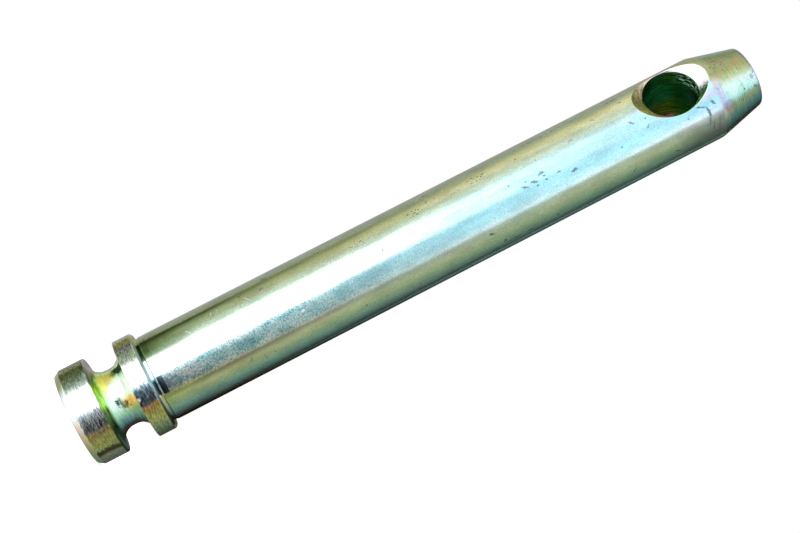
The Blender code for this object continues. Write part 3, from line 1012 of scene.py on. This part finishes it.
def make_cone_material():
    """The countersink: turned rings, with painted light and shade by the way they face: a painted
    highlight on the side towards the tip and painted shade on its lower side.
    """
    material, tree, shader, place = start_material("countersink")
    turn, rings, _ = around_hole(tree, place)
    left = span(tree, turn, 0.06, 0.14, 0.40, 0.50)
    lower = span(tree, turn, 0.20, 0.34, 0.56, 0.66)
    darkest = mix_value(tree, left, 0.8, 0.45)
    film = tinted(tree, ramp(tree, turn, CONE_COLOURS), shaded(tree, rings, darkest, 1.15))
    mottle = noise(tree, place, CONE_MOTTLE, 3.0, 0.6)
    mottle = smooth_range(tree, mottle, 0.38, 0.62, 0.66, 1.12, "LINEAR")
    film = blend(tree, left, film, tinted(tree, film, mottle))
    fine, _ = grained(tree, place, CONE_GRAIN)
    torn = times(tree, smooth_range(tree, fine, 0.44, 0.54),
                 span(tree, turn, 0.55, 0.60, 0.68, 0.71))
    film = painted(tree, film, torn, 0.85, BLACK_GREEN)
    roughness = smooth_range(tree, rings, 0.3, 0.7, 0.16, 0.30, "LINEAR")
    # the lower side, which carries painted shade, is rougher and less metallic
    roughness = mix_value(tree, lower, roughness, 0.42)
    metallic = mix_value(tree, lower, 1.0, 0.2)
    finish_material(tree, shader, film, roughness, rings, CONE_BUMP, metallic)
    return material


def make_bore_material():
    """The drilled bore: green plating darkened by painted shade inside the hole, lightest near its top,
    with painted glints on the drill's rings near the countersunk mouth.
    """
    material, tree, shader, place = start_material("drilled_bore")
    turn, rings, depth = around_hole(tree, place)
    # the green plating darkened by painted shade inside the hole, lighter only near its top
    film = blend(tree, smooth_range(tree, depth, -4.8, -1.6), ramp(tree, turn, MOUTH_BORE_COLOURS),
                 ramp(tree, turn, BORE_COLOURS))
    film = blend(tree, smooth_range(tree, depth, 0.5, 4.0), film, ramp(tree, turn, DEEP_BORE_COLOURS))
    film = tinted(tree, film, shaded(tree, rings, 0.3, 1.7))
    # painted glints: bright green where the drill's rings catch the light, on the side towards the tip
    painted_glints = times(tree, smooth_range(tree, stretched(tree, place, HOLE_GLINT_SCALES), 0.53, 0.61),
                 span(tree, turn, 0.68, 0.74, 0.82, 0.92), smooth_range(tree, depth, -2.8, -4.6))
    film = blend(tree, painted_glints, film, (0.52, 1.0, 0.64))
    brown = times(tree, smooth_range(tree, depth, 5.9, 6.9), smooth_range(tree, turn, 0.88, 0.93))
    film = painted(tree, film, brown, 0.85, (0.10, 0.05, 0.018))
    rust = times(tree, smooth_range(tree, depth, 7.2, 7.6), span(tree, turn, 0.88, 0.93, 0.94, 0.97))
    film = blend(tree, rust, film, (0.28, 0.21, 0.16))
    shader.inputs["Specular IOR Level"].default_value = 0.0
    finish_material(tree, shader, film, 0.36, rings, BORE_BUMP, 0.25)
    return material


# Shape


def bridge(start, corner, end, steps):
    """Returns points on the round bridge from start to end, drawn into corner.

    It is a conic whose middle weight is the cosine of half the turn at the corner, which makes it a
    circular arc where both sides are equally long.
    """
    before = corner - start
    after = end - corner
    lengths = np.linalg.norm(before, axis=-1) * np.linalg.norm(after, axis=-1)
    bend = (before * after).sum(-1) / np.maximum(lengths, TINY)
    weight = np.sqrt(np.clip((1.0 + bend) / 2.0, 0.0, 1.0))[..., None]
    share = np.linspace(0.0, 1.0, steps + 1).reshape((-1,) + (1,) * np.ndim(corner))
    first = (1.0 - share) ** 2
    middle = 2.0 * share * (1.0 - share) * weight
    last = share ** 2
    return (first * start + middle * corner + last * end) / (first + middle + last)


# The finishes, in the order of the pin's materials
HEAD_FINISH, GROOVE_FINISH, SHANK_FINISH, CONE_FINISH, BORE_FINISH = range(5)

# The half section from the middle of the head to the middle of the tip: radius, height, how far the
# corner is cut back, steps of its arc, rows of the run that follows, and the finish of that run
SECTION = [
    (0.0, 0.0, 0.0, 0, 8, HEAD_FINISH),
    (HEAD_RADIUS - HEAD_CHAMFER_DEPTH, 0.0, 0.12, 4, 4, HEAD_FINISH),
    (HEAD_RADIUS, HEAD_CHAMFER_LENGTH, 0.18, 4, 16, HEAD_FINISH),
    (HEAD_RADIUS, HEAD_LENGTH, 0.30, 5, 3, GROOVE_FINISH),
    (NECK_RADIUS, HEAD_LENGTH, GROOVE_FILLET, 14, 2, GROOVE_FINISH),
    (NECK_RADIUS, GROOVE_END, GROOVE_FILLET, 14, 3, GROOVE_FINISH),
    (COLLAR_RADIUS, GROOVE_END, 0.12, 4, 14, HEAD_FINISH),
    (COLLAR_RADIUS, SHOULDER - COLLAR_CHAMFER, 0.1, 3, 2, HEAD_FINISH),
    (COLLAR_RADIUS - COLLAR_CHAMFER, SHOULDER, 0.1, 3, 2, HEAD_FINISH),
    (SEAT_RADIUS, SHOULDER, 0.0, 0, 2, HEAD_FINISH),
    (RELIEF_RADIUS, SHOULDER - SEAT_RELIEF, 0.1, 3, 2, SHANK_FINISH),
    (RELIEF_RADIUS, RELIEF_END - RELIEF_DEPTH, 0.1, 3, 1, SHANK_FINISH),
    (SHANK_RADIUS, RELIEF_END, 0.1, 3, 24, SHANK_FINISH),
    (SHANK_RADIUS, WINDOW_LOW, 0.0, 0, 38, SHANK_FINISH),
    (SHANK_RADIUS, TAPER_START, 0.6, 6, 4, SHANK_FINISH),
    (SHANK_RADIUS - (WINDOW_HIGH - TAPER_START) * TAPER_SLOPE, WINDOW_HIGH, 0.0, 0, 10, SHANK_FINISH),
    (TIP_RADIUS, TIP_HEIGHT, 0.234, 5, 6, SHANK_FINISH),
    (0.0, TIP_HEIGHT, 0.0, 0, 0, SHANK_FINISH),
]

# Nicks: angle in degrees, height, half width in degrees, half height and depth
NICKS = [
    (-12.0, 13.55, 5.0, 1.1, 0.22),
    (10.0, 6.85, 4.0, 0.7, 0.2),
    (42.0, 6.85, 4.0, 0.6, 0.14),
]


def toward(start, end, distance):
    """Returns the point at a distance from start towards end."""
    way = end - start
    return start + way * (distance / max(np.linalg.norm(way), TINY))


def half_section():
    """Returns the section's points and the finish of the run after each of them."""
    corners = np.array([row[:2] for row in SECTION])
    points = [corners[:1]]
    finishes = []
    for index in range(1, len(SECTION)):
        _, _, cut_before, _, runs, run_finish = SECTION[index - 1]
        _, _, cut, steps, _, finish = SECTION[index]
        start = toward(corners[index - 1], corners[index], cut_before)
        end = toward(corners[index], corners[index - 1], cut)
        share = np.linspace(0.0, 1.0, runs + 1)[1:, None]
        points.append(start + (end - start) * share)
        finishes += [run_finish] * runs
        if steps:
            beyond = toward(corners[index], corners[index + 1], cut)
            points.append(bridge(end, corners[index], beyond, steps)[1:])
            finishes += [finish] * steps
    return np.concatenate(points), np.array(finishes)


def grid_faces(rows, columns):
    """Returns the four corners of every face of a grid of vertices, counted row by row."""
    index = np.arange(rows * columns).reshape(rows, columns)
    return np.stack([index[:-1, :-1], index[:-1, 1:], index[1:, 1:], index[1:, :-1]], -1)


def wrap(radius, angle, height):
    """Returns points at a radius and an angle round the pin's axis, and at a height."""
    return np.stack(np.broadcast_arrays(radius * np.cos(angle), radius * np.sin(angle), height), -1)


def nicks(angle, height):
    """Returns how far the nicks on the head's and the collar's edges lie under the surface.

    Each is a pyramid: its depth is deep * (1 - the share of the way from its middle to its rim).
    """
    degrees = (np.degrees(CAMERA_ANGLE - angle) + 180.0) % 360.0 - 180.0
    depth = np.zeros(np.broadcast(angle, height).shape)
    for middle, level, wide, tall, deep in NICKS:
        reach = np.abs(degrees - middle) / wide + np.abs(height - level) / tall
        depth = np.maximum(depth, deep * np.clip(1.0 - reach, 0.0, 1.0))
    return depth


def turned_body():
    """Returns the grid of the turned body: the half section carried once round the axis."""
    section, finishes = half_section()
    angle = np.linspace(0.0, FULL_TURN, COLUMNS + 1)[None, :]
    radius = section[:, :1]
    height = section[:, 1:]
    points = wrap(radius - nicks(angle, height), angle, height)
    return section, finishes, points


def mouth_grid(section, border, countersunk):
    """Returns the rings round one mouth of the hole, from its patch's border to the pin's middle.

    The patch lies on the turned surface, unrolled as (arc length, height over the hole). Each ray
    runs from the mouth's middle to a point of the border, and the rim is where it meets the cone, or
    the bore where the cone ends. Inside it follow the broken rim, the cone, its foot and the bore.
    The mouth that isn't countersunk has a short lip in place of the cone.
    """
    high = section[(section[:, 1] >= WINDOW_LOW - 1.0) & (section[:, 0] > TIP_RADIUS)]
    cone_foot = SHANK_RADIUS - (COUNTERSINK_RADIUS - BORE_RADIUS) / COUNTERSINK_SPREAD

    def hole_radius(depth):
        """Returns the hole's radius at distances from the pin's axis."""
        if countersunk:
            return BORE_RADIUS + np.maximum(depth - cone_foot, 0.0) * COUNTERSINK_SPREAD
        return np.full(depth.shape, LIP_RADIUS)

    def on_surface(share):
        """Returns points (sideways, outward, up) on the turned surface at a share of each ray."""
        level = border[:, 1] * share
        radius = np.interp(level + HOLE_HEIGHT, high[:, 1], high[:, 0])
        angle = border[:, 0] * share / SHANK_RADIUS
        return np.stack([radius * np.sin(angle), radius * np.cos(angle), level], -1)

    low = np.full(len(border), NEAREST_RIM)
    far = np.full(len(border), 1.0)
    for _ in range(SEARCH_STEPS):
        share = (low + far) / 2.0
        spot = on_surface(share)
        reach = np.hypot(spot[:, 0], spot[:, 2])
        outside = reach > hole_radius(spot[:, 1])
        far = np.where(outside, share, far)
        low = np.where(outside, low, share)
    rim = on_surface(share)
    brink = share + RIM_BREAK / np.hypot(border[:, 0], border[:, 1])
    steps = np.linspace(1.0, 0.0, PATCH_RINGS + 1) ** RING_CROWDING
    rings = [on_surface(brink + (1.0 - brink) * step) for step in steps[:-1]]

    rim_angle = np.arctan2(rim[:, 0], rim[:, 2])
    foot_angle = np.arctan2(border[:, 0], border[:, 1])
    rim_reach = np.hypot(rim[:, 0], rim[:, 2])
    foot_depth = rim[:, 1] - LIP_LENGTH
    if countersunk:
        foot_depth = np.minimum(cone_foot, rim[:, 1] - LEAST_SINK)

    def on_cone(step):
        """Returns points at a share of the way from the rim to the cone's foot."""
        angle = rim_angle + (foot_angle - rim_angle) * step
        reach = rim_reach + (BORE_RADIUS - rim_reach) * step
        depth = rim[:, 1] + (foot_depth - rim[:, 1]) * step
        return np.stack([reach * np.sin(angle), depth, reach * np.cos(angle)], -1)

    slant = np.linalg.norm(on_cone(1.0) - rim, axis=1)
    cut = np.minimum(RIM_BREAK, slant * BREAK_SHARE) / slant
    foot = on_cone(1.0)
    into_bore = foot - np.array([0.0, RIM_BREAK, 0.0])
    rings += list(bridge(on_surface(brink), rim, on_cone(cut), RIM_STEPS))
    for step in np.linspace(0.0, 1.0, CONE_RINGS + 1)[1:-1]:
        rings.append(on_cone(cut + (1.0 - 2.0 * cut) * step))
    rings += list(bridge(on_cone(1.0 - cut), foot, into_bore, RIM_STEPS))
    middle = foot * np.array([1.0, 0.0, 1.0])
    shares = np.linspace(0.0, 1.0, BORE_RINGS + 1)[1:]
    rings += [into_bore + (middle - into_bore) * share for share in shares]
    return np.stack(rings)


def mouth_finishes(countersunk):
    """Returns the finish of each band between two rings of a mouth."""
    outside = PATCH_RINGS + RIM_STEPS // 2
    cone = RIM_STEPS - RIM_STEPS // 2 + CONE_RINGS + RIM_STEPS // 2
    bore = RIM_STEPS - RIM_STEPS // 2 + BORE_RINGS
    inner = CONE_FINISH if countersunk else BORE_FINISH
    return np.array([SHANK_FINISH] * outside + [inner] * cone + [BORE_FINISH] * bore)


def window_border(section, first, last, middle):
    """Returns a window's border in the body's grid, once round from its lower left corner.

    Each point is (arc length from the middle column, height over the hole).
    """
    left = middle - WINDOW_COLUMNS
    right = middle + WINDOW_COLUMNS
    row_run = np.arange(first, last + 1)
    column_run = np.arange(left, right + 1)
    rows = np.concatenate([np.full(len(column_run) - 1, first), row_run[:-1],
                           np.full(len(column_run) - 1, last), row_run[:0:-1], [first]])
    columns = np.concatenate([column_run[:-1], np.full(len(row_run) - 1, right),
                              column_run[:0:-1], np.full(len(row_run) - 1, left), [left]])
    arc = (columns - middle) * (FULL_TURN / COLUMNS) * SHANK_RADIUS
    return np.stack([arc, section[rows, 1] - HOLE_HEIGHT], -1)


def make_pin(materials):
    """Returns the whole pin: the body's grid with two windows, and a mouth's grid in each."""
    section, finishes, body = turned_body()
    kinds = np.repeat(finishes[:, None], COLUMNS, 1)
    first = int(np.argmin(np.abs(section[:, 1] - WINDOW_LOW)))
    last = int(np.argmin(np.abs(section[:, 1] - WINDOW_HIGH)))
    kept = np.ones(kinds.shape, bool)
    parts = [body.reshape(-1, 3)]
    part_faces = []
    part_kinds = []
    count = len(parts[0])
    quarter = COLUMNS // 4
    for middle, side, countersunk in ((3 * quarter, -1.0, True), (quarter, 1.0, False)):
        kept[first:last, middle - WINDOW_COLUMNS:middle + WINDOW_COLUMNS] = False
        border = window_border(section, first, last, middle)
        rings = mouth_grid(section, border, countersunk)
        placed = rings * (-side, side, 1.0) + (0.0, 0.0, HOLE_HEIGHT)
        part_faces.append((grid_faces(len(rings), len(border)) + count).reshape(-1, 4))
        part_kinds.append(np.repeat(mouth_finishes(countersunk), len(border) - 1))
        parts.append(placed.reshape(-1, 3))
        count += len(parts[-1])
    part_faces.insert(0, grid_faces(len(section), COLUMNS + 1)[kept])
    part_kinds.insert(0, kinds[kept])
    return build_mesh("pin_body", np.concatenate(parts) * MM, np.concatenate(part_faces),
                      np.concatenate(part_kinds), materials)


def place_object(name, data):
    """Returns a new object that is linked to the scene."""
    item = bpy.data.objects.new(name, data)
    bpy.context.scene.collection.objects.link(item)
    return item


def build_mesh(name, points, corners, kinds, materials):
    """Makes a mesh object from points and four-cornered faces, and welds what touches."""
    used, corners = np.unique(corners, return_inverse=True)
    mesh = bpy.data.meshes.new(name)
    mesh.from_pydata(points[used].tolist(), [], corners.reshape(-1, 4).tolist())
    for material in materials:
        mesh.materials.append(material)
    mesh.polygons.foreach_set("material_index", kinds.astype(np.int32))
    work = bmesh.new()
    work.from_mesh(mesh)
    bmesh.ops.remove_doubles(work, verts=work.verts, dist=WELD_DISTANCE)
    bmesh.ops.recalc_face_normals(work, faces=work.faces)
    work.to_mesh(mesh)
    work.free()
    mesh.shade_smooth()
    return place_object(name, mesh)


# Studio

# Light that the polished metal sees round it, by degrees clockwise from the camera
LOW_LEVEL = [
    (-180, 0.40), (-150, 0.22), (-110, 0.30), (-92, 0.45), (-70, 0.55), (-53, 0.75), (-40, 0.95),
    (-28, 1.0), (-8, 1.05), (14, 1.20), (26, 1.35), (95, 1.35), (108, 0.60), (122, 0.35), (150, 0.42),
    (180, 0.40),
]
FLOOR_LEVEL = [
    (-180, 0.28), (-168, 0.08), (-150, 0.10), (-132, 0.14), (-102, 0.26), (-80, 0.34), (-62, 0.36),
    (-50, 0.40), (-47.5, 0.34), (-44, 0.06), (-30, 0.05), (-16, 0.12), (-6, 0.28), (2, 0.75), (8, 2.2),
    (14, 3.0), (50, 3.0), (56, 1.6), (64, 0.9), (72, 0.45), (80, 0.26), (112, 0.18), (130, 0.24),
    (148, 0.48), (166, 0.50), (180, 0.28),
]
EYE_LEVEL = [
    (-180, 0.26), (-168, 0.02), (-150, 0.01), (-132, 0.04), (-102, 0.26), (-80, 0.40), (-62, 0.42),
    (-50, 0.36), (-47.5, 0.32), (-44, 0.26), (-28, 0.24), (-12, 0.30), (-2, 0.42), (3, 1.0), (7, 3.0),
    (52, 3.0), (57, 1.3), (60, 0.88), (66, 0.72), (72, 0.60), (80, 0.46), (90, 0.40), (100, 0.28),
    (110, 0.12), (114, 0.13), (120, 0.32), (132, 0.38), (148, 0.48), (166, 0.50), (180, 0.26),
]
ABOVE_LEVEL = [
    (-180, 0.28), (-168, 0.02), (-150, 0.02), (-132, 0.10), (-102, 0.26), (-80, 0.46), (-66, 0.54),
    (-56, 0.56), (-50, 0.60), (-46.5, 1.15), (-20, 1.15), (2, 1.10), (6, 1.15), (50, 1.15), (54, 1.0),
    (60, 0.82), (66, 0.82), (88, 0.80), (100, 0.72), (112, 0.55), (124, 0.42), (148, 0.44), (166, 0.50),
    (180, 0.28),
]
OVERHEAD = [
    (-180, 0.25), (-160, 0.10), (-120, 0.20), (-80, 0.40), (-54, 0.5), (-40, 0.95), (0, 1.1),
    (30, 0.95), (50, 0.55), (100, 0.50), (150, 0.42), (180, 0.25),
]
ZENITH = [(-180, 0.9), (180, 0.9)]

# What is laid over FLOOR_LEVEL: the rises in degrees between which each takes over, and how
LIGHT_LAYERS = [
    (-5.5, -1.2, "LINEAR", EYE_LEVEL),
    (-1.2, 12.4, "LINEAR", ABOVE_LEVEL),
    (24.0, 44.0, "SMOOTHSTEP", OVERHEAD),
    (62.0, 85.0, "SMOOTHSTEP", ZENITH),
    (-12.0, -30.0, "SMOOTHSTEP", LOW_LEVEL),
]


def make_camera():
    """Puts the camera where the photograph was taken from, rolled so that the pin lies aslant."""
    place = Vector((CAMERA_DISTANCE * math.cos(CAMERA_ANGLE),
                    CAMERA_DISTANCE * math.sin(CAMERA_ANGLE), CAMERA_HEIGHT))
    ahead = (Vector(CAMERA_AIM) - place).normalized()
    level = ahead.cross(Vector((0.0, 0.0, 1.0))).normalized()
    above = level.cross(ahead)
    right = math.cos(CAMERA_ROLL) * level + math.sin(CAMERA_ROLL) * above
    upward = -math.sin(CAMERA_ROLL) * level + math.cos(CAMERA_ROLL) * above
    lens = bpy.data.cameras.new("camera")
    lens.lens = CAMERA_LENS
    lens.sensor_width = SENSOR_WIDTH
    lens.sensor_fit = "HORIZONTAL"
    lens.clip_start = CLIP_START
    lens.clip_end = CLIP_END
    item = place_object("camera", lens)
    matrix = Matrix((right, upward, -ahead)).transposed().to_4x4()
    matrix.translation = place
    item.matrix_world = matrix
    bpy.context.scene.camera = item


def make_world():
    """The studio: the camera sees white, and polished metal sees a soft lamp, a window and walls."""
    world = bpy.data.worlds.new("studio")
    world.use_nodes = True
    tree = world.node_tree
    tree.nodes.clear()
    direction = add(tree, "ShaderNodeTexCoord").outputs["Generated"]
    _, turn, upward = from_camera(tree, direction)
    rise = times(tree, calc(tree, "ARCSINE", upward), math.degrees(1.0))
    light = by_level(tree, turn, FLOOR_LEVEL)
    for start, end, kind, stops in LIGHT_LAYERS:
        share = smooth_range(tree, rise, start, end, kind=kind)
        light = mix_value(tree, share, light, by_level(tree, turn, stops))
    rays = add(tree, "ShaderNodeLightPath")
    seen = calc(tree, "MAXIMUM", rays.outputs["Is Camera Ray"], rays.outputs["Is Transmission Ray"])
    strength = mix_value(tree, rays.outputs["Is Glossy Ray"], ROOM_LIGHT, light)
    strength = mix_value(tree, seen, strength, 1.0)
    background = add(tree, "ShaderNodeBackground", {"Color": rgba(1.0), "Strength": strength})
    output = add(tree, "ShaderNodeOutputWorld")
    tree.links.new(background.outputs[0], output.inputs[0])
    bpy.context.scene.world = world


def make_floor():
    """A round white floor that shows little more than the pin's soft shadow."""
    steps = np.arange(FLOOR_STEPS) * FULL_TURN / FLOOR_STEPS
    ring = wrap(FLOOR_RADIUS, steps, -FLOOR_DROP)
    mesh = bpy.data.meshes.new("studio_floor")
    mesh.from_pydata(ring.tolist(), [], [list(range(FLOOR_STEPS))])
    item = place_object("studio_floor", mesh)
    material = bpy.data.materials.new("white_floor")
    material.use_nodes = True
    tree = material.node_tree
    shader = tree.nodes["Principled BSDF"]
    rays = add(tree, "ShaderNodeLightPath")
    values = {"Base Color": rgba(0.9), "Roughness": 0.9, "Specular IOR Level": 0.0,
              "Emission Color": rgba(1.0),
              "Emission Strength": times(tree, rays.outputs["Is Camera Ray"], FLOOR_GLOW)}
    for key, value in values.items():
        plug(tree, shader.inputs[key], value)
    mesh.materials.append(material)
    item.visible_glossy = False


def make_lamp():
    """A large soft lamp on the side that the photograph is lit from."""
    light = bpy.data.lights.new("soft_lamp", "AREA")
    light.shape = "RECTANGLE"
    light.size = LAMP_SIZE
    light.size_y = LAMP_SIZE
    light.energy = LAMP_POWER
    item = place_object("soft_lamp", light)
    item.location = LAMP_PLACE
    item.rotation_euler = (Vector(LAMP_AIM) - item.location).to_track_quat("-Z", "Y").to_euler()
    item.visible_glossy = False


make_camera()
make_world()
make_floor()
make_lamp()
materials = [
    make_turned_material(),
    make_groove_material(),
    make_shank_material(),
    make_cone_material(),
    make_bore_material(),
]
pin = make_pin(materials)
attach(pin, "root")
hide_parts("link_pin")

bpy.context.scene.view_settings.view_transform = "Standard"
